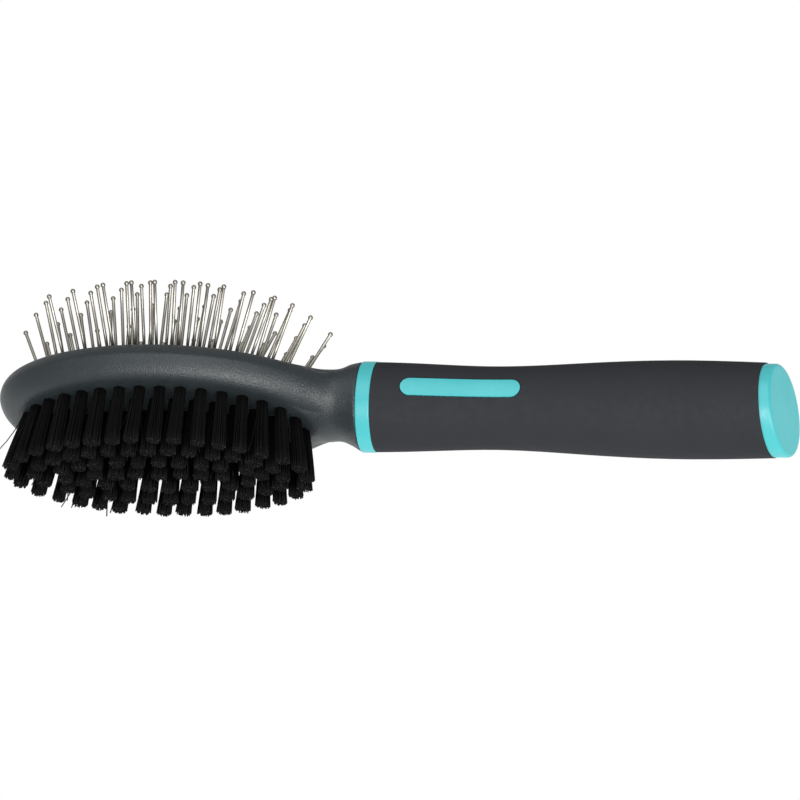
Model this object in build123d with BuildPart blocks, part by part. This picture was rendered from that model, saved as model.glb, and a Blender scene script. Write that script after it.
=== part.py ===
from build123d import *

import math
import os

# Double-sided grooming brush, lying level: steel pins point up, nylon tufts point down.
# +X runs along the handle towards its end, +Z is up, and the tufts' cut ends lie at Z = 0.
# The origin is midway along the brush, so the head's tip is at X = -LENGTH / 2. Millimetres.

# --- Overall layout ---------------------------------------------------------------------------
LENGTH = 221.0
TIP_X = -LENGTH / 2
AXIS_Z = 22.7                     # height of the handle's axis and of the paddle's mid-plane

# --- Paddle: an egg-shaped board, widest at mid-height, whose sides curve in above and below ---
HEAD_X = TIP_X + 47.6             # widest place
HEAD_FRONT = 47.6                 # semi-axis towards the tip
HEAD_BACK = 48.3                  # semi-axis towards the handle
HEAD_HALF_WIDTH = 29.3
FACE_DROP = 6.3                   # mid-plane to the tufted lower face
FACE_INSETS = (5.6, 4.3)          # how far the side has drawn in there, lengthwise and sideways
FACE_EXPONENTS = (1.7, 1.8)       # roundness of the side: 1 is a straight slope, 2 an ellipse
RIM_RISE = 4.9                    # mid-plane to the upper rim
RIM_INSETS = (3.8, 3.8)
RIM_EXPONENTS = (2.3, 1.15)
SIDE_LEVELS = (0.35, 0.65, 0.85, 0.95, 1.0)

# --- Neck and collar --------------------------------------------------------------------------
NECK_STATIONS = (                 # distance from the tip, half-width, half-height
    (76.5, 15.0, 4.0),
    (82.5, 15.8, 5.2),
    (87.5, 14.5, 7.2),
    (91.5, 12.7, 9.0),
    (95.2, 11.6, 9.9),
    (98.9, 11.7, 10.7),
    (102.45, 12.35, 12.35),
)
COLLAR_END_X = TIP_X + 102.45
SPIGOT_RADIUS = 8.6
TANG_RADIUS = 7.2
TANG_LENGTH = 38.0
TANG_CHAMFER = 1.5

# --- Cushion pad: a rubber dome over an air space ---------------------------------------------
PAD_X = TIP_X + 47.4
PAD_HALF_LENGTH = 38.2
PAD_SQUASH = 0.565                # the pad's width over its length
PAD_TOP = 12.2                    # dome's top above the mid-plane
PAD_EDGE = 3.9                    # dome's foot above the mid-plane
PAD_THICKNESS = 1.2
FLANGE_WIDTH = 1.6
FLANGE_LOW = 1.4                  # heights of the flange above the mid-plane
FLANGE_HIGH = 2.6
CAVITY_FLOOR = -0.4
CAVITY_GAP = 0.1                  # pad's skirt to the cavity's wall
MOUTH_CHAMFER = 1.4               # opens the cavity's mouth, so that the outer pins clear the rim
PIN_HOLE_GAP = 0.04

# --- Steel pins -------------------------------------------------------------------------------
PIN_RADIUS = 0.45
PIN_BALL_RADIUS = 0.68
PIN_LENGTH = 19.4                 # from the dome's surface to the ball's centre
PIN_FOOT_RADIUS = 0.9
PIN_FOOT_THICKNESS = 0.4
PIN_ROWS = 9
PIN_ROW_PITCH = 4.6
PIN_PITCH = 5.9
PIN_FIELD_HALF_LENGTH = 36.2
PIN_FIELD_HALF_WIDTH = 20.9

# --- Nylon tufts ------------------------------------------------------------------------------
TUFT_ROOT_RADIUS = 1.5
TUFT_TIP_RADIUS = 2.0
TUFT_HOLE_GAP = 0.05
TUFT_HOLE_DEPTH = 3.4
TUFT_SINK = 2.0                   # how deep the filament reaches into its hole
FIELD_HALF_LENGTH = 38.9          # outer ring of tufts
FIELD_HALF_WIDTH = 21.2
RING_STEP_X = 5.7
RING_STEP_Y = 7.0
TUFT_RING_COUNTS = (34, 28, 21)
CENTRE_ROW_COUNT = 7
CENTRE_ROW_HALF_LENGTH = 17.4
FAN_DEG = 10.5                    # lengthwise lean of the outermost tufts
FAN_CURVE = 0.6                   # share of the lean that grows with the cube of the distance
ANCHOR_LENGTH = 2.4
ANCHOR_THICKNESS = 0.4

# --- Handle -----------------------------------------------------------------------------------
RING_WIDTH = 4.0
RING_RADIUS = 12.5
RING_FILLET = 0.4
GRIP_START_X = COLLAR_END_X + RING_WIDTH
GRIP_PROFILE = (                  # distance from the tip, radius
    (106.45, 12.35),
    (119.6, 12.0),
    (139.1, 11.4),
    (163.6, 12.45),
    (188.1, 13.38),
    (206.6, 13.15),
    (223.1, 12.55),
)
CORE_RADIUS = 9.4
CORE_BORE_RADIUS = 7.2
CAP_FACE_X = TIP_X + 218.35       # where the axis meets the slanted end face
CAP_SLANT_DEG = 13.8              # the end face turns towards -Y by this much
CAP_LIFT_DEG = 1.8                # and upwards by this much
CAP_BAND_X = CAP_FACE_X - 4.05    # where the axis meets the joint with the sleeve
CAP_BAND_SLANT_DEG = 9.4
CAP_BAND_LIFT_DEG = 1.3
CAP_RADIUS = 12.65
CAP_BLANK_HALF = 12.0             # half the length of the disc that the cap is cut from
CAP_FILLET = 1.0
CAP_PLUG_LENGTH = 11.0
CAP_PLUG_INSET = 1.5              # the plug stops this far behind the end face
PLUG_RADIUS = 7.2

# --- Inlay strip on the -Y side of the grip ---------------------------------------------------
INLAY_X = TIP_X + 131.1
INLAY_LENGTH = 32.85
INLAY_WIDTH = 5.2
INLAY_DEPTH = 1.3
INLAY_PROUD = 0.12
INLAY_GAP = 0.25                  # dark shadow line around the strip


def ellipse_ring(half_length, half_width, count):
    """Points spaced evenly by arc length round an ellipse, the first at its +X end."""
    steps = 720
    fine = []
    for i in range(steps + 1):
        turn = 2 * math.pi * i / steps
        fine.append((half_length * math.cos(turn), half_width * math.sin(turn)))
    travel = [0.0]
    for start, end in zip(fine, fine[1:]):
        travel.append(travel[-1] + math.dist(start, end))
    points = []
    for k in range(count):
        target = travel[-1] * k / count
        i = next(i for i in range(steps) if travel[i + 1] > target)
        share = (target - travel[i]) / (travel[i + 1] - travel[i])
        x = fine[i][0] + share * (fine[i + 1][0] - fine[i][0])
        y = fine[i][1] + share * (fine[i + 1][1] - fine[i][1])
        points.append((x, y))
    return points


def tuft_plane(x, y):
    """Plane at a tuft's root on the lower face, its normal pointing out along the tuft."""
    share = x / FIELD_HALF_LENGTH
    lean = math.tan(math.radians(FAN_DEG)) * (share * (1 - FAN_CURVE) + share ** 3 * FAN_CURVE)
    root = (HEAD_X + x, y, AXIS_Z - FACE_DROP)
    return Plane(origin=root, x_dir=(1, 0, lean), z_dir=(lean, 0, -1))


def tuft_groups():
    """Tuft root positions relative to the paddle's centre, by group."""
    groups = {}
    names = ("tufts_outer_ring", "tufts_middle_ring", "tufts_inner_ring")
    for k, (name, count) in enumerate(zip(names, TUFT_RING_COUNTS)):
        half_length = FIELD_HALF_LENGTH - k * RING_STEP_X
        half_width = FIELD_HALF_WIDTH - k * RING_STEP_Y
        groups[name] = ellipse_ring(half_length, half_width, count)
    step = 2 * CENTRE_ROW_HALF_LENGTH / (CENTRE_ROW_COUNT - 1)
    centre_row = [(i * step - CENTRE_ROW_HALF_LENGTH, 0.0) for i in range(CENTRE_ROW_COUNT)]
    groups["tufts_centre_row"] = centre_row
    return groups


def dome_radius():
    """Radius of the arc that makes the dome's lengthwise section."""
    rise = PAD_TOP - PAD_EDGE
    return (PAD_HALF_LENGTH ** 2 + rise ** 2) / (2 * rise)


def pin_plane(x, y):
    """Plane on the dome's surface at a pin, its normal pointing out along the pin."""
    radius = dome_radius()
    wide_y = y / PAD_SQUASH
    rise = math.sqrt(radius ** 2 - x ** 2 - wide_y ** 2)
    base = (PAD_X + x, y, AXIS_Z + PAD_TOP - radius + rise)
    normal = (x / rise, wide_y / PAD_SQUASH / rise, 1)
    return Plane(origin=base, x_dir=(1, 0, -x / rise), z_dir=normal)


def pin_rows():
    """Planes of the pins, one list for each lengthwise row, staggered from row to row."""
    rows = []
    for k in range(PIN_ROWS):
        y = (k - (PIN_ROWS - 1) / 2) * PIN_ROW_PITCH
        reach = PIN_FIELD_HALF_LENGTH * math.sqrt(1 - (y / PIN_FIELD_HALF_WIDTH) ** 2)
        shift = PIN_PITCH / 2 if k % 2 else 0.0
        half_count = int((reach - shift) // PIN_PITCH)
        low = -half_count - (1 if shift else 0)
        places = [shift + i * PIN_PITCH for i in range(low, half_count + 1)]
        rows.append([pin_plane(x, y) for x in places])
    return rows


def save(piece, name):
    piece.part.label = name
    export_step(piece.part, f"parts/{name}.step")


def cross_plane(x):
    """Plane across the handle's axis, its normal towards the end cap."""
    return Plane((x, 0, AXIS_Z), x_dir=(0, 1, 0), z_dir=(1, 0, 0))


def half_ellipse(half_length, half_width, keep):
    with BuildSketch() as half:
        Ellipse(half_length, half_width)
        split(bisect_by=Plane.YZ, keep=keep)
    return half.sketch


def egg_halves(inset_x, inset_y):
    """The front and back halves of the paddle's outline, drawn in lengthwise and sideways."""
    half_width = HEAD_HALF_WIDTH - inset_y
    front = half_ellipse(HEAD_FRONT - inset_x, half_width, Keep.BOTTOM)
    back = half_ellipse(HEAD_BACK - inset_x, half_width, Keep.TOP)
    return front, back


def side_sections(reach, insets, exponents):
    """Outlines from next to the mid-plane to a face that lies reach above it."""
    sections = []
    for level in SIDE_LEVELS:
        shares = [1 - (1 - level ** e) ** (1 / e) for e in exponents]
        sections.append((reach * level, egg_halves(shares[0] * insets[0], shares[1] * insets[1])))
    return sections


def paddle_sections():
    """Height above the mid-plane and outline of each level, from the lower face to the rim."""
    lower = side_sections(-FACE_DROP, FACE_INSETS, FACE_EXPONENTS)
    upper = side_sections(RIM_RISE, RIM_INSETS, RIM_EXPONENTS)
    return lower[::-1] + [(0.0, egg_halves(0.0, 0.0))] + upper


def build_head_frame(tuft_planes):
    outlines = paddle_sections()
    cavity_length = PAD_HALF_LENGTH + CAVITY_GAP
    cavity_width = PAD_HALF_LENGTH * PAD_SQUASH + CAVITY_GAP
    with BuildPart() as head_frame:
        for height, halves in outlines:
            with BuildSketch(Plane((HEAD_X, 0, AXIS_Z + height))):
                for half in halves:
                    add(half)
        loft(ruled=True)
        for distance, half_width, half_height in NECK_STATIONS:
            with BuildSketch(cross_plane(TIP_X + distance)):
                Ellipse(half_width, half_height)
        loft()
        with BuildSketch(cross_plane(COLLAR_END_X)):
            Circle(SPIGOT_RADIUS)
        extrude(amount=RING_WIDTH)
        with BuildSketch(cross_plane(GRIP_START_X)):
            Circle(TANG_RADIUS)
        extrude(amount=TANG_LENGTH)
        chamfer(head_frame.faces().sort_by(Axis.X)[-1].edges(), TANG_CHAMFER)
        with BuildSketch(Plane((PAD_X, 0, AXIS_Z + CAVITY_FLOOR))):
            Ellipse(cavity_length, cavity_width)
        extrude(amount=2 * RIM_RISE, mode=Mode.SUBTRACT)
        with BuildSketch(Plane((PAD_X, 0, AXIS_Z + RIM_RISE))):
            Ellipse(cavity_length + MOUTH_CHAMFER, cavity_width + MOUTH_CHAMFER)
        extrude(amount=RIM_RISE, mode=Mode.SUBTRACT)
        for growth in (0.0, MOUTH_CHAMFER):
            with BuildSketch(Plane((PAD_X, 0, AXIS_Z + RIM_RISE - MOUTH_CHAMFER + growth))):
                Ellipse(cavity_length + growth, cavity_width + growth)
        loft(mode=Mode.SUBTRACT)
        with BuildSketch(Plane((PAD_X, 0, AXIS_Z + FLANGE_LOW - CAVITY_GAP))):
            flange = PAD_HALF_LENGTH + FLANGE_WIDTH
            Ellipse(flange + CAVITY_GAP, flange * PAD_SQUASH + CAVITY_GAP)
        extrude(amount=FLANGE_HIGH - FLANGE_LOW + 2 * CAVITY_GAP, mode=Mode.SUBTRACT)
        with Locations(*[Location(plane) for plane in tuft_planes]):
            Cylinder(
                TUFT_ROOT_RADIUS + TUFT_HOLE_GAP,
                2 * TUFT_HOLE_DEPTH,
                mode=Mode.SUBTRACT,
            )
    save(head_frame, "head_frame")


def build_cushion_pad(pin_planes):
    radius = dome_radius()
    inner_radius = radius - PAD_THICKNESS
    inner_half = PAD_HALF_LENGTH - PAD_THICKNESS
    centre_z = PAD_TOP - radius
    inner_edge = centre_z + math.sqrt(inner_radius ** 2 - inner_half ** 2)
    with BuildPart() as cushion_pad:
        with BuildSketch(Plane.XZ):
            with BuildLine():
                RadiusArc((0, PAD_TOP), (PAD_HALF_LENGTH, PAD_EDGE), radius)
                Polyline(
                    (PAD_HALF_LENGTH, PAD_EDGE),
                    (PAD_HALF_LENGTH, FLANGE_HIGH),
                    (PAD_HALF_LENGTH + FLANGE_WIDTH, FLANGE_HIGH),
                    (PAD_HALF_LENGTH + FLANGE_WIDTH, FLANGE_LOW),
                    (inner_half, FLANGE_LOW),
                    (inner_half, inner_edge),
                )
                RadiusArc((inner_half, inner_edge), (0, PAD_TOP - PAD_THICKNESS), -inner_radius)
                Line((0, PAD_TOP - PAD_THICKNESS), (0, PAD_TOP))
            make_face()
        revolve(axis=Axis.Z)
        scale(by=(1, PAD_SQUASH, 1))
    with BuildPart() as placed_pad:
        with Locations((PAD_X, 0, AXIS_Z)):
            add(cushion_pad.part)
        with Locations(*[Location(plane) for plane in pin_planes]):
            Cylinder(PIN_RADIUS + PIN_HOLE_GAP, 4 * PAD_THICKNESS, mode=Mode.SUBTRACT)
    save(placed_pad, "cushion_pad")


def pin_solid():
    """One pin standing on the dome's surface: foot under the rubber, wire, ball tip."""
    foot_z = -1.6 * PAD_THICKNESS
    with BuildPart() as pin:
        with Locations((0, 0, foot_z)):
            Cylinder(
                PIN_FOOT_RADIUS,
                PIN_FOOT_THICKNESS,
                align=(Align.CENTER, Align.CENTER, Align.MIN),
            )
            Cylinder(
                PIN_RADIUS,
                PIN_LENGTH - foot_z,
                align=(Align.CENTER, Align.CENTER, Align.MIN),
            )
        with Locations((0, 0, PIN_LENGTH)):
            Sphere(PIN_BALL_RADIUS)
    return pin.part


def build_pins(rows):
    pin = pin_solid()
    for k, planes in enumerate(rows):
        with BuildPart() as pin_row:
            with Locations(*[Location(plane) for plane in planes]):
                add(pin)
        save(pin_row, f"pins_row_{k + 1}")


def tuft_solid():
    """One tuft pointing along +Z from its root, a little longer than it is cut."""
    length = 1.2 * AXIS_Z
    spread = (TUFT_TIP_RADIUS - TUFT_ROOT_RADIUS) * length / (AXIS_Z - FACE_DROP)
    with BuildPart() as tuft:
        with Locations((0, 0, -TUFT_SINK)):
            Cylinder(
                TUFT_ROOT_RADIUS,
                TUFT_SINK,
                align=(Align.CENTER, Align.CENTER, Align.MIN),
            )
        Cone(
            TUFT_ROOT_RADIUS,
            TUFT_ROOT_RADIUS + spread,
            length,
            align=(Align.CENTER, Align.CENTER, Align.MIN),
        )
    return tuft.part


def build_tufts(groups):
    tuft = tuft_solid()
    for name, points in groups.items():
        with BuildPart() as tufts:
            with Locations(*[Location(tuft_plane(x, y)) for x, y in points]):
                add(tuft)
            split(bisect_by=Plane.XY, keep=Keep.TOP)
        save(tufts, name)


def build_tuft_anchors(tuft_planes):
    middle = -(TUFT_HOLE_DEPTH + TUFT_SINK) / 2
    with BuildPart() as tuft_anchors:
        with Locations(*[Location(plane) * Location((0, 0, middle)) for plane in tuft_planes]):
            Box(ANCHOR_LENGTH, ANCHOR_THICKNESS, TUFT_HOLE_DEPTH - TUFT_SINK)
    save(tuft_anchors, "tuft_anchors")


def slanted_plane(x, slant_deg, lift_deg):
    """Plane that meets the axis at x and faces the end of the handle, turned towards -Y and up."""
    slant = math.radians(slant_deg)
    lift = math.radians(lift_deg)
    level = math.cos(lift)
    normal = Vector(math.cos(slant) * level, -math.sin(slant) * level, math.sin(lift))
    return Plane(origin=(x, 0, AXIS_Z), x_dir=normal.cross(Vector(0, 1, 0)), z_dir=normal)


def band_plane():
    return slanted_plane(CAP_BAND_X, CAP_BAND_SLANT_DEG, CAP_BAND_LIFT_DEG)


def build_collar_ring():
    with BuildPart() as collar_ring:
        with BuildSketch(cross_plane(COLLAR_END_X)):
            Circle(RING_RADIUS)
            Circle(SPIGOT_RADIUS, mode=Mode.SUBTRACT)
        extrude(amount=RING_WIDTH)
        rims = collar_ring.edges().filter_by(GeomType.CIRCLE)
        fillet([rim for rim in rims if rim.radius > SPIGOT_RADIUS + 1], RING_FILLET)
    save(collar_ring, "collar_ring")


def build_handle_core():
    with BuildPart() as handle_core:
        with BuildSketch(cross_plane(GRIP_START_X)):
            Circle(CORE_RADIUS)
            Circle(CORE_BORE_RADIUS, mode=Mode.SUBTRACT)
        extrude(amount=LENGTH / 2)
        split(bisect_by=band_plane(), keep=Keep.BOTTOM)
    save(handle_core, "handle_core")


def grip_solid(growth):
    """Solid of the grip's outer shape, its radius larger by growth, to past the end face."""
    points = [(TIP_X + distance, AXIS_Z + radius + growth) for distance, radius in GRIP_PROFILE]
    start = points[0]
    end = points[-1]
    with BuildPart() as grip:
        with BuildSketch(Plane.XZ):
            with BuildLine():
                Spline(*points)
                Polyline(end, (end[0], AXIS_Z), (start[0], AXIS_Z), start)
            make_face()
        revolve(axis=Axis((0, 0, AXIS_Z), (1, 0, 0)))
    return grip.part


def inlay_bar(gap):
    """Pill-shaped bar through the -Y side of the grip, wider all round by gap."""
    with BuildPart() as bar:
        with BuildSketch(Plane((INLAY_X, 0, AXIS_Z), x_dir=(1, 0, 0), z_dir=(0, -1, 0))):
            SlotOverall(INLAY_LENGTH + 2 * gap, INLAY_WIDTH + 2 * gap)
        extrude(amount=2 * RING_RADIUS)
    return bar.part


def build_grip():
    """The soft sleeve with its pocket, and the strip that fills the pocket."""
    floor = grip_solid(-INLAY_DEPTH)
    with BuildPart() as pocket:
        add(inlay_bar(INLAY_GAP))
        add(floor, mode=Mode.SUBTRACT)
    with BuildPart() as grip_sleeve:
        add(grip_solid(0.0))
        with BuildSketch(cross_plane(GRIP_START_X)):
            Circle(CORE_RADIUS)
        extrude(amount=LENGTH, mode=Mode.SUBTRACT)
        split(bisect_by=band_plane(), keep=Keep.BOTTOM)
        add(pocket.part, mode=Mode.SUBTRACT)
    save(grip_sleeve, "grip_sleeve")

    with BuildPart() as grip_inlay:
        add(grip_solid(INLAY_PROUD))
        add(floor, mode=Mode.SUBTRACT)
        add(inlay_bar(0.0), mode=Mode.INTERSECT)
    save(grip_inlay, "grip_inlay")


def face_plane(back_off):
    return slanted_plane(CAP_FACE_X - back_off, CAP_SLANT_DEG, CAP_LIFT_DEG)


def build_end_cap():
    with BuildPart() as plug:
        with BuildSketch(cross_plane(CAP_FACE_X - CAP_PLUG_LENGTH)):
            Circle(PLUG_RADIUS)
        extrude(amount=CAP_PLUG_LENGTH)
        split(bisect_by=face_plane(CAP_PLUG_INSET), keep=Keep.BOTTOM)
    with BuildPart() as end_cap:
        with BuildSketch(cross_plane(CAP_FACE_X - CAP_BLANK_HALF)):
            Circle(CAP_RADIUS)
        extrude(amount=2 * CAP_BLANK_HALF)
        split(bisect_by=band_plane(), keep=Keep.TOP)
        split(bisect_by=face_plane(0.0), keep=Keep.BOTTOM)
        fillet(end_cap.faces().sort_by(Axis.X)[-1].edges(), CAP_FILLET)
        add(plug.part)
    save(end_cap, "end_cap")


def main():
    os.makedirs("parts", exist_ok=True)
    groups = tuft_groups()
    tuft_planes = [tuft_plane(x, y) for points in groups.values() for x, y in points]
    rows = pin_rows()
    pin_planes = [plane for planes in rows for plane in planes]
    build_head_frame(tuft_planes)
    build_cushion_pad(pin_planes)
    build_pins(rows)
    build_tufts(groups)
    build_tuft_anchors(tuft_planes)
    build_collar_ring()
    build_handle_core()
    build_grip()
    build_end_cap()


main()
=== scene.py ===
import math
import random

import bmesh
import bpy
import numpy as np
from mathutils import Matrix, Vector


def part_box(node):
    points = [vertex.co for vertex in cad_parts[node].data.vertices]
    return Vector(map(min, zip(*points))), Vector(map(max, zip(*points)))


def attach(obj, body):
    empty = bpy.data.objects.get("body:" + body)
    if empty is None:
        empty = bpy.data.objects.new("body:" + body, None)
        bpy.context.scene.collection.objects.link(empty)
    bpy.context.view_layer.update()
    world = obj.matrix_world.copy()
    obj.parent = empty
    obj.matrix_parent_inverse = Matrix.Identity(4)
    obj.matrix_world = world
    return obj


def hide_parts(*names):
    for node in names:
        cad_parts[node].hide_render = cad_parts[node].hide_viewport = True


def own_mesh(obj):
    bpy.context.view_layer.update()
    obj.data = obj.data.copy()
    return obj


# Looks of a double-sided grooming brush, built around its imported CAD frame.
# Fields and outlines are worked out in millimetres from the frame's boxes; meshes are in metres.
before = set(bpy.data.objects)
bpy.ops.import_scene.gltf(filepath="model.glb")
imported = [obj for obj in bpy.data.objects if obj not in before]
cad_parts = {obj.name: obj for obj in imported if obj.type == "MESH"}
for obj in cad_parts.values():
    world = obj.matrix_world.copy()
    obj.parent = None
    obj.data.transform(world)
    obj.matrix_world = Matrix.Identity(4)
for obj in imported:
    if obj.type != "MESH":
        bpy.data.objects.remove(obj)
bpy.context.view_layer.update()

MM = 0.001


def box_mm(node):
    low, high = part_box(node)
    return low / MM, high / MM


# --- Places read from the frame ---------------------------------------------------------------
RING_LOW, RING_HIGH = box_mm("collar_ring")
RING_OVERHANG = 0.15              # how far the ring stands proud of the collar
AXIS_Z = (RING_LOW.z + RING_HIGH.z) / 2
COLLAR_RADIUS = (RING_HIGH.z - RING_LOW.z) / 2 - RING_OVERHANG
HEAD_LOW, HEAD_HIGH = box_mm("head_frame")
TIP_X = HEAD_LOW.x
PAD_LOW, PAD_HIGH = box_mm("cushion_pad")
PAD_X = (PAD_LOW.x + PAD_HIGH.x) / 2

# --- Head: distances along it are measured from its tip, heights from the handle's axis --------
HEAD_FRONT = 47.6                 # half-lengths of the oval, before and behind its widest place
HEAD_BACK = 48.3
HEAD_HALF_WIDTH = HEAD_HIGH.y
FACE_DROP = 6.3
FACE_INSETS = (5.6, 4.3)          # how far the side has drawn in there, lengthwise and sideways
FACE_EXPONENTS = (1.7, 2.2)       # roundness of the side: 1 is a straight slope, 2 an ellipse
RIM_RISE = 4.9
RIM_INSETS = (3.8, 3.8)
RIM_EXPONENTS = (2.3, 1.15)
NECK_STATIONS = (                 # distance from the tip, half-width, half-height, rise, squareness
    (70.0, 12.0, 3.4, 0.0, 2.0),
    (80.0, 13.6, 5.0, 0.1, 2.2),
    (86.5, 13.6, 7.1, 0.7, 2.2),
    (91.5, 12.3, 8.9, 0.25, 2.1),
    (96.9, 11.55, 9.72, 0.5, 2.0),
    (99.2, 11.8, 10.9, 0.6, 2.0),
    (102.45, COLLAR_RADIUS, COLLAR_RADIUS, 0.0, 2.0),
)
NECK_FILLET = 3.6
EDGE_RADIUS = 0.3
SLANT_SHARE = 0.9                 # true distance to a slanted surface, as a share of the straight one
PAD_HALF_LENGTH = 38.2
PAD_SQUASH = 0.565
PAD_TOP = PAD_HIGH.z - AXIS_Z
PAD_EDGE = 3.9
PAD_FOOT = 1.4
PAD_SIDE_RADIUS = 0.5
PAD_FOOT_RADIUS = 0.2
PAD_STEP = 0.4                    # size of the membrane mesh's faces
PAD_HEADROOM = 1.4                # room above the dome for the collars round the pins
CAVITY_FLOOR = -0.4
CAVITY_GAP = 0.15
MOUTH_RADIUS = 1.2
HEAD_STEP = 0.45                  # size of the head mesh's faces
MARGIN = 1.0                      # of the box that a mesh is worked out in
NET_PASSES = 4                    # times that the vertices are pulled onto the surface
NET_NUDGE = 0.01                  # step by which a field's slope is measured there

# --- Pins and tufts, on the same rules as the frame's ------------------------------------------
PIN_RADIUS = 0.45
PIN_BALL_RADIUS = 0.7
PIN_LENGTH = 19.4
PIN_SINK = 1.8
PIN_ROWS = 9
PIN_ROW_PITCH = 4.6
PIN_PITCH = 5.9
PIN_FIELD_HALF_LENGTH = 36.2
PIN_FIELD_HALF_WIDTH = 20.9
PIN_SCATTER = 0.03                # random lean of a pin, as a slope
PIN_SIDES = 14
PIN_BALL_STEPS = 8
PIN_COLLAR_RISE = 0.28            # low collar of rubber round each pin
PIN_COLLAR_RADIUS = 0.75
PIN_COLLAR_WIDTH = 0.4
TUFT_ROOT_RADIUS = 1.5
TUFT_TIP_RADIUS = 2.0
FIELD_HALF_LENGTH = 38.9
FIELD_HALF_WIDTH = 21.2
RING_STEP_X = 5.7
RING_STEP_Y = 7.0
FAN_DEG = 10.5                    # lengthwise lean of the outermost tufts
FAN_CURVE = 0.6                   # share of the lean that grows with the cube of the distance
TUFT_GROUPS = (                   # CAD node, ring number from outside, tufts in it
    ("tufts_outer_ring", 0, 34),
    ("tufts_middle_ring", 1, 28),
    ("tufts_inner_ring", 2, 21),
)
CENTRE_ROW_COUNT = 7
CENTRE_ROW_HALF_LENGTH = 17.4
FILAMENTS = 104                   # in each tuft
FILAMENT_RADIUS = 0.16
FILAMENT_SIDES = 5
FILAMENT_POINTS = 6               # along each filament
FILAMENT_SPREAD = (0.85, 1.15)    # thinnest and thickest, as shares of FILAMENT_RADIUS
FILAMENT_TURN_SCATTER = 0.2       # random turn about the tuft's middle, in radians
FILAMENT_SUNK = 0.35              # share of the first step that stands in the hole
TUFT_LEAN_SCATTER = 0.017         # random lean of a tuft, as a slope
TUFT_FLARE = (1.04, 0.06)         # mean and scatter of the cut end's width, as shares
SPLAY_SCATTER = 0.04              # random spread of single filaments towards the cut end
SPLAY_REACH = 1.5                 # millimetres at the cut end for each unit of spread
BOW_SCATTER = 0.06                # random bow of single filaments, in millimetres
CUT_SCATTER = 0.16                # random shortness of single filaments, in millimetres
STRAY_EDGE = 0.8                  # strays stand outside this share of the tuft's radius
STRAY_CHANCE = 0.022              # share of the filaments there that stand away from their tuft
STRAY_SPLAY = (0.5, 1.7)          # squared before use, so strays that lean far are few


# --- Fields: negative inside, roughly the distance in millimetres ------------------------------
def ellipse_distance(x, y, half_length, half_width):
    """Approximate distance to an ellipse; half_length may be an array."""
    near = np.sqrt((x / half_length) ** 2 + (y / half_width) ** 2)
    far = np.sqrt((x / half_length ** 2) ** 2 + (y / half_width ** 2) ** 2)
    return near * (near - 1) / np.maximum(far, 1e-6)


def joined(a, b, radius):
    """Union of two fields, its corner filled to a radius."""
    corner = np.hypot(np.maximum(radius - a, 0), np.maximum(radius - b, 0))
    return np.maximum(radius, np.minimum(a, b)) - corner


def common(a, b, radius):
    """Intersection of two fields, its edge rounded to a radius."""
    edge = np.hypot(np.maximum(radius + a, 0), np.maximum(radius + b, 0))
    return np.minimum(-radius, np.maximum(a, b)) + edge


def blended(stations, along):
    """Smooth curves through a table of stations, each row a place and its values."""
    table = np.array(stations)
    places = table[:, 0]
    slopes = np.gradient(table[:, 1:], places, axis=0)
    low = np.clip(np.searchsorted(places, along) - 1, 0, len(places) - 2)
    gap = (places[low + 1] - places[low])[..., None]
    share = np.clip((along - places[low])[..., None] / gap, 0, 1)
    rest = 1 - share
    start = table[low, 1:] * (1 + 2 * share) * rest ** 2 + slopes[low] * gap * share * rest ** 2
    end = table[low + 1, 1:] * (1 + 2 * rest) * share ** 2 - slopes[low + 1] * gap * rest * share ** 2
    return np.moveaxis(start + end, -1, 0)


def side_inset(height, which):
    """How far the paddle's side has drawn in at a height: lengthwise 0, sideways 1."""
    below = height < 0
    level = np.clip(np.where(below, -height / FACE_DROP, height / RIM_RISE), 0, 1)
    exponent = np.where(below, FACE_EXPONENTS[which], RIM_EXPONENTS[which])
    full = np.where(below, FACE_INSETS[which], RIM_INSETS[which])
    return full * (1 - (1 - level ** exponent) ** (1 / exponent))


def paddle_field(along, y, height):
    x = along - HEAD_FRONT
    half_length = np.where(x < 0, HEAD_FRONT, HEAD_BACK) - side_inset(height, 0)
    side = ellipse_distance(x, y, half_length, HEAD_HALF_WIDTH - side_inset(height, 1))
    lower = common(side * SLANT_SHARE, -height - FACE_DROP, EDGE_RADIUS)
    return common(lower, height - RIM_RISE, EDGE_RADIUS)


def neck_field(along, y, height):
    half_width, half_height, rise, squareness = blended(NECK_STATIONS, along)
    across = np.abs(y / half_width) ** squareness
    upright = np.abs((height - rise) / half_height) ** squareness
    reach = (across + upright) ** (1 / squareness)
    round_part = (reach - 1) * np.minimum(half_width, half_height)
    return np.maximum(round_part, NECK_STATIONS[0][0] - along)


def cavity_field(along, y, height):
    x = along - (PAD_X - TIP_X)
    half_length = PAD_HALF_LENGTH + CAVITY_GAP
    side = ellipse_distance(x, y, half_length, half_length * PAD_SQUASH)
    return np.maximum(side, CAVITY_FLOOR - height)


def head_field(along, y, height):
    body = joined(paddle_field(along, y, height), neck_field(along, y, height), NECK_FILLET)
    body = common(body, along - NECK_STATIONS[-1][0], EDGE_RADIUS)
    return common(body, -cavity_field(along, y, height), MOUTH_RADIUS)


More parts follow.
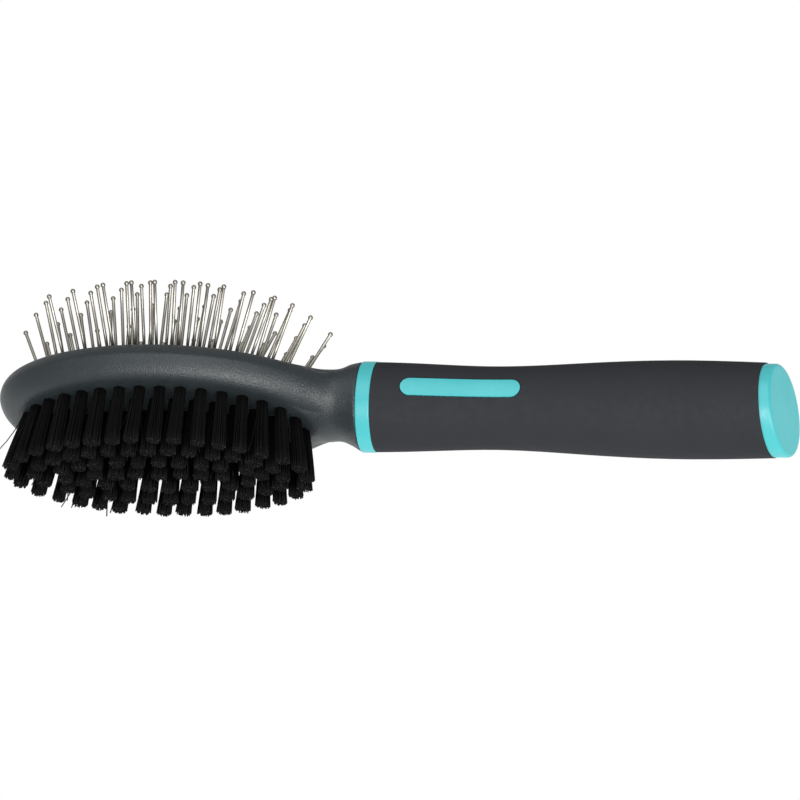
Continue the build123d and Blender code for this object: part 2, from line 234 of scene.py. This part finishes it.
def surface_net(field, low, high, step):
    """Quads where a field is zero inside a box: vertices, pulled onto the surface, and faces."""
    axes = [np.arange(lo, hi + step, step) for lo, hi in zip(low, high)]
    values = field(*np.meshgrid(*axes, indexing="ij"))
    inside = values < 0
    cells = tuple(n - 1 for n in values.shape)
    total = np.zeros(cells + (3,))
    count = np.zeros(cells)
    for axis in range(3):
        for corner in ((0, 0), (0, 1), (1, 0), (1, 1)):
            offset = list(corner)
            offset.insert(axis, 0)
            near = tuple(slice(o, o + n) for o, n in zip(offset, cells))
            offset[axis] = 1
            far = tuple(slice(o, o + n) for o, n in zip(offset, cells))
            crossing = inside[near] != inside[far]
            share = values[near][crossing] / (values[near][crossing] - values[far][crossing])
            for other in range(3):
                total[crossing, other] += share if other == axis else offset[other]
            count += crossing
    active = count > 0
    number = np.full(cells, -1)
    number[active] = np.arange(active.sum())
    places = total[active] / count[active][:, None]
    points = (np.argwhere(active) + places) * step + np.array(low)
    faces = []
    for axis in range(3):
        one, two = [a for a in range(3) if a != axis]
        change = np.diff(inside.astype(np.int8), axis=axis)
        inner = [slice(None)] * 3
        inner[one] = slice(1, -1)
        inner[two] = slice(1, -1)
        inner[axis] = slice(None)
        change = change[tuple(inner)]
        spots = np.argwhere(change != 0)
        leaving = change[change != 0] == -1
        corners = []
        for a, b in ((0, 0), (1, 0), (1, 1), (0, 1)):
            cell = spots.copy()
            cell[:, one] += a
            cell[:, two] += b
            corners.append(number[tuple(cell.T)])
        quads = np.stack(corners, 1)
        flip = leaving if axis == 1 else ~leaving
        quads[flip] = quads[flip][:, ::-1]
        faces.append(quads)
    for _ in range(NET_PASSES):
        value = field(*points.T)
        slope = np.stack([
            (field(*(points + nudge).T) - field(*(points - nudge).T)) / (2 * NET_NUDGE)
            for nudge in np.eye(3) * NET_NUDGE
        ], 1)
        move = value[:, None] * slope / np.maximum((slope ** 2).sum(1), 0.05)[:, None]
        points = points - np.clip(move, -step / 4, step / 4)
    return points, np.concatenate(faces)


# --- Blender helpers ---------------------------------------------------------------------------
ROUGHNESS_BAND = (0.3, 0.7)       # the part of a noise's range that is used in full
COLOUR_BAND = (0.35, 0.65)


def mesh_piece(name, points, faces, material):
    """A smooth-shaded piece from points in metres."""
    mesh = bpy.data.meshes.new(name)
    mesh.from_pydata([tuple(p) for p in points], [], [tuple(int(i) for i in f) for f in faces])
    mesh.validate()
    mesh.polygons.foreach_set("use_smooth", [True] * len(mesh.polygons))
    mesh.materials.append(material)
    piece = bpy.data.objects.new(name, mesh)
    bpy.context.scene.collection.objects.link(piece)
    return piece


def new_material(name, colour, roughness, **sockets):
    """A Principled material and a short way to reach its nodes."""
    material = bpy.data.materials.new(name)
    material.use_nodes = True
    shader = material.node_tree.nodes["Principled BSDF"]
    shader.inputs["Base Color"].default_value = (*colour, 1)
    shader.inputs["Roughness"].default_value = roughness
    for socket, value in sockets.items():
        shader.inputs[socket.replace("_", " ")].default_value = value
    return material, shader


def noise(material, scale, detail=2.0, stretch=(1, 1, 1)):
    """Noise fixed to the object; scale is in features per metre."""
    tree = material.node_tree
    place = tree.nodes.new("ShaderNodeTexCoord")
    mapping = tree.nodes.new("ShaderNodeMapping")
    mapping.inputs["Scale"].default_value = stretch
    texture = tree.nodes.new("ShaderNodeTexNoise")
    texture.inputs["Scale"].default_value = scale
    texture.inputs["Detail"].default_value = detail
    tree.links.new(place.outputs["Object"], mapping.inputs["Vector"])
    tree.links.new(mapping.outputs["Vector"], texture.inputs["Vector"])
    return texture.outputs["Fac"]


def ranged(material, value, low, high):
    """Maps the middle of a noise's range to low..high."""
    tree = material.node_tree
    node = tree.nodes.new("ShaderNodeMapRange")
    node.inputs["From Min"].default_value = ROUGHNESS_BAND[0]
    node.inputs["From Max"].default_value = ROUGHNESS_BAND[1]
    node.inputs["To Min"].default_value = low
    node.inputs["To Max"].default_value = high
    tree.links.new(value, node.inputs["Value"])
    return node.outputs["Result"]


def tinted(material, shader, value, dark, light):
    """Drives the base colour between two colours by a noise."""
    tree = material.node_tree
    ramp = tree.nodes.new("ShaderNodeValToRGB")
    ramp.color_ramp.elements[0].position = COLOUR_BAND[0]
    ramp.color_ramp.elements[1].position = COLOUR_BAND[1]
    ramp.color_ramp.elements[0].color = (*dark, 1)
    ramp.color_ramp.elements[1].color = (*light, 1)
    tree.links.new(value, ramp.inputs["Fac"])
    tree.links.new(ramp.outputs["Color"], shader.inputs["Base Color"])


def bumped(material, shader, value, depth, strength=1.0):
    """Bump of a real depth, in metres."""
    tree = material.node_tree
    node = tree.nodes.new("ShaderNodeBump")
    node.inputs["Distance"].default_value = depth
    node.inputs["Strength"].default_value = strength
    tree.links.new(value, node.inputs["Height"])
    tree.links.new(node.outputs["Normal"], shader.inputs["Normal"])


# --- Materials ---------------------------------------------------------------------------------
PAINTED_GLINT_SHARES = (0.86, 0.99)        # share of the filaments where the painted glint on the cut end begins and is full


def make_slate_plastic():
    """Satin moulding with a fine spark-eroded grain."""
    material, shader = new_material("slate_plastic", (0.036, 0.048, 0.053), 0.42, IOR=1.5)
    tinted(material, shader, noise(material, 90), (0.0355, 0.0485, 0.054), (0.0395, 0.0535, 0.0595))
    rough = ranged(material, noise(material, 900), 0.36, 0.46)
    material.node_tree.links.new(rough, shader.inputs["Roughness"])
    bumped(material, shader, noise(material, 3200, 1.0), 0.00016, 1.0)
    return material


def make_turquoise_plastic():
    material, shader = new_material("turquoise_plastic", (0.1, 0.7, 0.74), 0.4, Specular_IOR_Level=0.38)
    tinted(material, shader, noise(material, 60), (0.085, 0.69, 0.73), (0.1, 0.73, 0.77))
    rough = ranged(material, noise(material, 700), 0.34, 0.46)
    material.node_tree.links.new(rough, shader.inputs["Roughness"])
    bumped(material, shader, noise(material, 1800, 2.0), 0.00002, 0.4)
    return material


def make_soft_grip():
    """Matte soft-touch rubber."""
    material, shader = new_material("soft_grip", (0.034, 0.036, 0.041), 0.8, Specular_IOR_Level=0.22)
    tinted(material, shader, noise(material, 45, 4.0), (0.0325, 0.035, 0.042), (0.0355, 0.038, 0.045))
    rough = ranged(material, noise(material, 500, 3.0), 0.74, 0.86)
    material.node_tree.links.new(rough, shader.inputs["Roughness"])
    bumped(material, shader, noise(material, 3200, 2.0), 0.00003, 0.5)
    return material


def make_pin_steel():
    """Drawn wire with a satin surface and faint lines along it."""
    material, shader = new_material("pin_steel", (0.38, 0.36, 0.32), 0.46, Metallic=1.0)
    tinted(material, shader, noise(material, 120), (0.35, 0.335, 0.295), (0.41, 0.388, 0.343))
    rough = ranged(material, noise(material, 900, 2.0, (1, 1, 0.12)), 0.4, 0.52)
    material.node_tree.links.new(rough, shader.inputs["Roughness"])
    bumped(material, shader, noise(material, 1500, 2.0, (1, 1, 0.08)), 0.000004, 0.3)
    return material


def make_nylon(name, dark, light, roughness, painted_glint=None):
    """Nylon filament whose shade differs from one to the next; where a glint colour is given, a few of
    them get a bright painted glint.
    """
    material, shader = new_material(name, dark, roughness, Specular_IOR_Level=0.05)
    tree = material.node_tree
    geometry = tree.nodes.new("ShaderNodeNewGeometry")
    ramp = tree.nodes.new("ShaderNodeValToRGB")
    ramp.color_ramp.elements[0].color = (*dark, 1)
    ramp.color_ramp.elements[1].color = (*light, 1)
    # A few filaments get a bright colour here that is a painted glint, not a shade of the nylon.
    if painted_glint:
        ramp.color_ramp.elements[1].position = PAINTED_GLINT_SHARES[0]
        ramp.color_ramp.elements.new(PAINTED_GLINT_SHARES[1]).color = (*painted_glint, 1)
    tree.links.new(geometry.outputs["Random Per Island"], ramp.inputs["Fac"])
    tree.links.new(ramp.outputs["Color"], shader.inputs["Base Color"])
    rough = ranged(material, noise(material, 1500), roughness - 0.06, roughness + 0.08)
    tree.links.new(rough, shader.inputs["Roughness"])
    return material


def make_pad_rubber():
    material, shader = new_material("pad_rubber", (0.022, 0.023, 0.025), 0.58, IOR=1.5)
    tinted(material, shader, noise(material, 120, 3.0), (0.019, 0.020, 0.022), (0.026, 0.027, 0.029))
    rough = ranged(material, noise(material, 800, 3.0), 0.5, 0.68)
    material.node_tree.links.new(rough, shader.inputs["Roughness"])
    bumped(material, shader, noise(material, 2200, 3.0), 0.00004, 0.5)
    return material


def make_anchor_steel():
    material, shader = new_material("anchor_steel", (0.5, 0.48, 0.45), 0.4, Metallic=1.0)
    rough = ranged(material, noise(material, 2000), 0.3, 0.5)
    material.node_tree.links.new(rough, shader.inputs["Roughness"])
    return material


# --- Head --------------------------------------------------------------------------------------
def to_frame(points):
    """From distance along the head, y and height, in millimetres, to metres in the frame."""
    return (points + np.array([TIP_X, 0, AXIS_Z])) * MM


def make_head(material):
    low = (-MARGIN, -HEAD_HALF_WIDTH - MARGIN, -COLLAR_RADIUS - MARGIN)
    high = (NECK_STATIONS[-1][0] + MARGIN, HEAD_HALF_WIDTH + MARGIN, COLLAR_RADIUS + MARGIN)
    points, faces = surface_net(head_field, low, high, HEAD_STEP)
    head = mesh_piece("head_shell", to_frame(points), faces, material)
    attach(head, "brush")
    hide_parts("head_frame")


# --- Cushion membrane --------------------------------------------------------------------------
def dome_radius():
    rise = PAD_TOP - PAD_EDGE
    return (PAD_HALF_LENGTH ** 2 + rise ** 2) / (2 * rise)


def dome_height(x, y):
    radius = dome_radius()
    inside = radius ** 2 - x ** 2 - (y / PAD_SQUASH) ** 2
    return PAD_TOP - radius + np.sqrt(np.maximum(inside, 1.0))


def pin_places():
    """Foot of each pin on the dome, in millimetres, and its direction, row by row."""
    rows = []
    radius = dome_radius()
    for k in range(PIN_ROWS):
        y = (k - (PIN_ROWS - 1) / 2) * PIN_ROW_PITCH
        reach = PIN_FIELD_HALF_LENGTH * math.sqrt(1 - (y / PIN_FIELD_HALF_WIDTH) ** 2)
        shift = PIN_PITCH / 2 if k % 2 else 0.0
        half_count = int((reach - shift) // PIN_PITCH)
        low = -half_count - (1 if shift else 0)
        row = []
        for i in range(low, half_count + 1):
            x = shift + i * PIN_PITCH
            wide_y = y / PAD_SQUASH
            rise = math.sqrt(radius ** 2 - x ** 2 - wide_y ** 2)
            foot = Vector((PAD_X + x, y, AXIS_Z + PAD_TOP - radius + rise))
            row.append((foot, Vector((x / rise, wide_y / PAD_SQUASH / rise, 1)).normalized()))
        rows.append(row)
    return rows


def pad_field(along, y, height):
    """Rubber dome, with a low collar round each pin."""
    x = along - (PAD_X - TIP_X)
    surface = height - dome_height(x, y)
    for row in pin_places():
        for foot, _ in row:
            away = np.hypot(x - (foot.x - PAD_X), y - foot.y)
            ridge = np.exp(-((away - PIN_COLLAR_RADIUS) / PIN_COLLAR_WIDTH) ** 2)
            surface = surface - PIN_COLLAR_RISE * ridge
    surface = surface * SLANT_SHARE
    side = ellipse_distance(x, y, PAD_HALF_LENGTH, PAD_HALF_LENGTH * PAD_SQUASH)
    return common(common(surface, side, PAD_SIDE_RADIUS), PAD_FOOT - height, PAD_FOOT_RADIUS)


def make_pad(material):
    low = (PAD_LOW.x - TIP_X - MARGIN, PAD_LOW.y - MARGIN, PAD_FOOT - MARGIN)
    high = (PAD_HIGH.x - TIP_X + MARGIN, PAD_HIGH.y + MARGIN, PAD_TOP + PAD_HEADROOM)
    points, faces = surface_net(pad_field, low, high, PAD_STEP)
    pad = mesh_piece("cushion_membrane", to_frame(points), faces, material)
    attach(pad, "brush")
    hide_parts("cushion_pad")
    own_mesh(pad)


# --- Pins --------------------------------------------------------------------------------------
def pin_profile():
    """Radius and height of a pin's outline, from the foot under the rubber to the ball's top."""
    outline = [(0.0, -PIN_SINK), (PIN_RADIUS, -PIN_SINK), (PIN_RADIUS, PIN_LENGTH / 2)]
    start = math.asin(PIN_RADIUS / PIN_BALL_RADIUS)
    for i in range(PIN_BALL_STEPS + 1):
        turn = start + (math.pi - start) * i / PIN_BALL_STEPS
        outline.append((PIN_BALL_RADIUS * math.sin(turn), PIN_LENGTH - PIN_BALL_RADIUS * math.cos(turn)))
    return outline


def make_pins(material):
    chance = random.Random(5)
    profile = pin_profile()
    for k, row in enumerate(pin_places()):
        points = []
        faces = []
        for foot, direction in row:
            lean = Vector((chance.gauss(0, PIN_SCATTER), chance.gauss(0, PIN_SCATTER), 0))
            turn = (direction + lean).to_track_quat("Z", "X").to_matrix()
            start = len(points)
            for radius, height in profile:
                for s in range(PIN_SIDES):
                    angle = 2 * math.pi * s / PIN_SIDES
                    around = Vector((radius * math.cos(angle), radius * math.sin(angle), height))
                    points.append((foot + turn @ around) * MM)
            for ring in range(len(profile) - 1):
                for s in range(PIN_SIDES):
                    a = start + ring * PIN_SIDES + s
                    b = start + ring * PIN_SIDES + (s + 1) % PIN_SIDES
                    faces.append((a, b, b + PIN_SIDES, a + PIN_SIDES))
        pins = mesh_piece(f"steel_pins_{k + 1}", points, faces, material)
        merge_close(pins)
        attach(pins, "pin_field")
        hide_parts(f"pins_row_{k + 1}")


def merge_close(piece):
    """Closes the poles of a lathed mesh."""
    work = bmesh.new()
    work.from_mesh(piece.data)
    bmesh.ops.remove_doubles(work, verts=work.verts, dist=1e-7)
    bmesh.ops.dissolve_degenerate(work, dist=1e-8, edges=work.edges)
    work.to_mesh(piece.data)
    work.free()


# --- Tufts -------------------------------------------------------------------------------------
def ellipse_ring(half_length, half_width, count):
    """Points spaced evenly by arc length round an ellipse, the first at its +X end."""
    turn = np.linspace(0, 2 * math.pi, 721)
    fine = np.stack([half_length * np.cos(turn), half_width * np.sin(turn)], 1)
    travel = np.concatenate([[0], np.cumsum(np.linalg.norm(np.diff(fine, axis=0), axis=1))])
    targets = travel[-1] * np.arange(count) / count
    return np.stack([np.interp(targets, travel, fine[:, 0]), np.interp(targets, travel, fine[:, 1])], 1)


def tuft_groups():
    groups = {}
    for node, ring, count in TUFT_GROUPS:
        half_length = FIELD_HALF_LENGTH - ring * RING_STEP_X
        half_width = FIELD_HALF_WIDTH - ring * RING_STEP_Y
        groups[node] = ellipse_ring(half_length, half_width, count)
    row = np.linspace(-CENTRE_ROW_HALF_LENGTH, CENTRE_ROW_HALF_LENGTH, CENTRE_ROW_COUNT)
    groups["tufts_centre_row"] = np.stack([row, np.zeros(len(row))], 1)
    return groups


def filament(points, faces, ends, path, radius):
    """Adds a thin rod along a path; its cut end's face number goes into ends."""
    sides = FILAMENT_SIDES
    start = len(points)
    for place in path:
        for s in range(sides):
            angle = 2 * math.pi * s / sides
            x = place[0] + radius * math.cos(angle)
            y = place[1] + radius * math.sin(angle)
            points.append((x, y, place[2]))
    for ring in range(len(path) - 1):
        for s in range(sides):
            a = start + ring * sides + s
            b = start + ring * sides + (s + 1) % sides
            faces.append((a, a + sides, b + sides, b))
    ends.append(len(faces))
    last = start + (len(path) - 1) * sides
    faces.append(tuple(last + s for s in range(sides))[::-1])


def add_tuft(points, faces, ends, x, y, chance):
    """One tuft as a bundle of filaments that spreads a little towards its cut end."""
    share = x / FIELD_HALF_LENGTH
    lean = math.tan(math.radians(FAN_DEG)) * (share * (1 - FAN_CURVE) + share ** 3 * FAN_CURVE)
    lean += chance.gauss(0, TUFT_LEAN_SCATTER)
    side_lean = chance.gauss(0, TUFT_LEAN_SCATTER)
    flare = TUFT_TIP_RADIUS * chance.gauss(*TUFT_FLARE) - TUFT_ROOT_RADIUS
    root = np.array([TIP_X + HEAD_FRONT + x, y, AXIS_Z - FACE_DROP])
    golden = math.pi * (3 - math.sqrt(5))
    for i in range(FILAMENTS):
        reach = math.sqrt((i + 0.5) / FILAMENTS)
        angle = i * golden + chance.uniform(-FILAMENT_TURN_SCATTER, FILAMENT_TURN_SCATTER)
        across = np.array([reach * math.cos(angle), reach * math.sin(angle)])
        splay = abs(chance.gauss(0, SPLAY_SCATTER))
        if reach > STRAY_EDGE and chance.random() < STRAY_CHANCE:
            splay += chance.uniform(*STRAY_SPLAY) ** 2
        bow = np.array([chance.gauss(0, BOW_SCATTER), chance.gauss(0, BOW_SCATTER)])
        cut = abs(chance.gauss(0, CUT_SCATTER))
        path = []
        for k in range(FILAMENT_POINTS):
            share = (k - FILAMENT_SUNK) / (FILAMENT_POINTS - 1 - FILAMENT_SUNK)
            depth = share * (AXIS_Z - FACE_DROP - cut)
            spread = TUFT_ROOT_RADIUS + flare * share
            offset = across * spread + bow * share * (1 - share) * 4
            offset = offset + across * splay * max(share, 0) ** 2 * SPLAY_REACH
            path.append((
                root[0] + offset[0] + lean * depth,
                root[1] + offset[1] + side_lean * depth,
                root[2] - depth,
            ))
        filament(points, faces, ends, path, FILAMENT_RADIUS * chance.uniform(*FILAMENT_SPREAD))


def make_tufts(nylon, cut_ends_painted_shade_and_glint):
    chance = random.Random(11)
    for node, places in tuft_groups().items():
        points = []
        faces = []
        ends = []
        for x, y in places:
            add_tuft(points, faces, ends, x, y, chance)
        scaled = np.array(points) * MM
        tufts = mesh_piece("nylon_" + node, scaled, faces, nylon)
        # The cut ends take a second material: the same nylon painted darker as painted shade, with a few
        # bright painted glints.
        tufts.data.materials.append(cut_ends_painted_shade_and_glint)
        for number in ends:
            tufts.data.polygons[number].material_index = 1
            tufts.data.polygons[number].use_smooth = False
        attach(tufts, "brush")
        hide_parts(node)


# --- Stage -------------------------------------------------------------------------------------
AZIMUTH_DEG = 12.3
ELEVATION_DEG = -28.4
ROLL_DEG = 6.4
CAMERA_DISTANCE = 1.25
LENS = 205.7                      # millimetres, on a 36 mm sensor
AIM = Vector((0.00222, 0, AXIS_Z * MM))
AIM_DROP = 0.00201                # how far the aimed point lies below the picture's centre
LIGHT_TARGET = Vector((-0.03, 0, AXIS_Z * MM))
SOFT_TILT_DEG = 40                # the soft light is strongest this far below the camera
SOFT_RANGE = (0.325, 1.135)       # weakest and strongest soft light
GLOSS_RANGE = (0.16, 1.0)         # weakest and strongest light in reflections
GLOSS_EDGE = (0.2, 0.7)           # where the reflected light begins to rise and is full
FLOOR_HALF = 6.0
FLOOR_HEIGHT = -0.8


def camera_axes():
    """The camera's right, up and back directions."""
    a = math.radians(AZIMUTH_DEG)
    e = math.radians(ELEVATION_DEG)
    roll = math.radians(ROLL_DEG)
    back = Vector((math.sin(a) * math.cos(e), -math.cos(a) * math.cos(e), math.sin(e)))
    right = Vector((math.cos(a), math.sin(a), 0))
    up = Vector((-math.sin(a) * math.sin(e), math.cos(a) * math.sin(e), math.cos(e)))
    turned_right = right * math.cos(roll) + up * math.sin(roll)
    turned_up = up * math.cos(roll) - right * math.sin(roll)
    return turned_right, turned_up, back


def facing(right, up, back):
    return Matrix((right, up, back)).transposed().to_4x4()


def make_camera():
    right, up, back = camera_axes()
    data = bpy.data.cameras.new("camera")
    data.sensor_width = 36.0
    data.lens = LENS
    camera = bpy.data.objects.new("camera", data)
    place = AIM + back * CAMERA_DISTANCE + up * AIM_DROP
    camera.matrix_world = Matrix.Translation(place) @ facing(right, up, back)
    bpy.context.scene.collection.objects.link(camera)
    bpy.context.scene.camera = camera


def make_softbox(name, elevation, azimuth, distance, size, radiance):
    """A rectangular light, placed by angles from the camera's own direction, seen in gloss only."""
    right, up, back = camera_axes()
    e = math.radians(elevation)
    a = math.radians(azimuth)
    towards = back * math.cos(e) * math.cos(a) + right * math.cos(e) * math.sin(a) + up * math.sin(e)
    data = bpy.data.lights.new(name, "AREA")
    data.shape = "RECTANGLE"
    data.size, data.size_y = size
    data.energy = radiance * math.pi * size[0] * size[1]
    light = bpy.data.objects.new(name, data)
    light.location = LIGHT_TARGET + towards * distance
    light.rotation_mode = "QUATERNION"
    light.rotation_quaternion = towards.to_track_quat("Z", "Y")
    light.visible_diffuse = False
    light.visible_camera = False
    bpy.context.scene.collection.objects.link(light)


def glow(tree, direction, low, high):
    """A background whose strength runs from low to high towards a direction."""
    place = tree.nodes.new("ShaderNodeTexCoord")
    dot = tree.nodes.new("ShaderNodeVectorMath")
    dot.operation = "DOT_PRODUCT"
    dot.inputs[1].default_value = direction
    spread = tree.nodes.new("ShaderNodeMapRange")
    spread.inputs["From Min"].default_value = -1.0
    spread.inputs["To Min"].default_value = low
    spread.inputs["To Max"].default_value = high
    shade = tree.nodes.new("ShaderNodeBackground")
    tree.links.new(place.outputs["Generated"], dot.inputs[0])
    tree.links.new(dot.outputs["Value"], spread.inputs["Value"])
    tree.links.new(spread.outputs["Result"], shade.inputs["Strength"])
    return shade, spread


def make_world():
    """A white room: soft light from the front and below, darker in reflections."""
    _, up, back = camera_axes()
    world = bpy.data.worlds.new("world")
    bpy.context.scene.world = world
    world.use_nodes = True
    world.cycles.sampling_method = "NONE"
    tree = world.node_tree
    tree.nodes.clear()
    tilt = math.radians(SOFT_TILT_DEG)
    soft, _ = glow(tree, back * math.cos(tilt) - up * math.sin(tilt), *SOFT_RANGE)
    gloss, edge = glow(tree, (-back * 0.8 - up * 0.6).normalized(), *GLOSS_RANGE)
    edge.inputs["From Min"].default_value = GLOSS_EDGE[0]
    edge.inputs["From Max"].default_value = GLOSS_EDGE[1]
    plain = tree.nodes.new("ShaderNodeBackground")
    path = tree.nodes.new("ShaderNodeLightPath")
    by_gloss = tree.nodes.new("ShaderNodeMixShader")
    by_camera = tree.nodes.new("ShaderNodeMixShader")
    output = tree.nodes.new("ShaderNodeOutputWorld")
    plain.inputs["Color"].default_value = (1, 1, 1, 1)
    soft.inputs["Color"].default_value = (1, 1, 1, 1)
    gloss.inputs["Color"].default_value = (1, 1, 1, 1)
    tree.links.new(path.outputs["Is Glossy Ray"], by_gloss.inputs["Fac"])
    tree.links.new(soft.outputs[0], by_gloss.inputs[1])
    tree.links.new(gloss.outputs[0], by_gloss.inputs[2])
    tree.links.new(path.outputs["Is Camera Ray"], by_camera.inputs["Fac"])
    tree.links.new(by_gloss.outputs[0], by_camera.inputs[1])
    tree.links.new(plain.outputs[0], by_camera.inputs[2])
    tree.links.new(by_camera.outputs[0], output.inputs["Surface"])


def make_floor():
    """A pale floor far below, because the camera looks up at the brush."""
    material, shader = new_material("floor_paper", (0.86, 0.86, 0.86), 0.9, Emission_Strength=0.5)
    tinted(material, shader, noise(material, 3), (0.85, 0.85, 0.85), (0.87, 0.87, 0.87))
    signs = ((-1, -1), (1, -1), (1, 1), (-1, 1))
    corners = [(FLOOR_HALF * x, FLOOR_HALF * y, FLOOR_HEIGHT) for x, y in signs]
    floor = mesh_piece("floor", corners, [(0, 1, 2, 3)], material)
    floor.visible_glossy = False
    floor.visible_diffuse = False


def main():
    make_camera()
    make_world()
    make_softbox("top_softbox", elevation=52, azimuth=-12, distance=0.7, size=(0.7, 0.5), radiance=2.1)
    make_softbox("front_softbox", elevation=-12, azimuth=12, distance=0.9, size=(1.0, 0.34), radiance=12.5)
    make_floor()
    slate = make_slate_plastic()
    turquoise = make_turquoise_plastic()
    soft_grip = make_soft_grip()
    steel = make_pin_steel()
    anchor_steel = make_anchor_steel()
    nylon = make_nylon("black_nylon", (0.0055, 0.0059, 0.0055), (0.0085, 0.009, 0.0084), 0.5)
    # Cut ends: colours far darker than the filament sides are painted shade, and the bright rare colour is
    # a painted glint.
    cut_ends_painted_shade_and_glint = make_nylon("cut_ends_painted_shade_and_glint", (0.0002,) * 3, (0.0016,) * 3, 0.5, (0.08,) * 3)
    make_head(slate)
    make_pad(make_pad_rubber())
    make_pins(steel)
    make_tufts(nylon, cut_ends_painted_shade_and_glint)
    finishes = {
        "collar_ring": turquoise,
        "grip_inlay": turquoise,
        "end_cap": turquoise,
        "handle_core": turquoise,
        "grip_sleeve": soft_grip,
        "tuft_anchors": anchor_steel,
    }
    for node, material in finishes.items():
        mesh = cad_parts[node].data
        mesh.materials.clear()
        mesh.materials.append(material)
    scene = bpy.context.scene
    scene.view_settings.view_transform = "Standard"
    bpy.context.view_layer.update()


main()
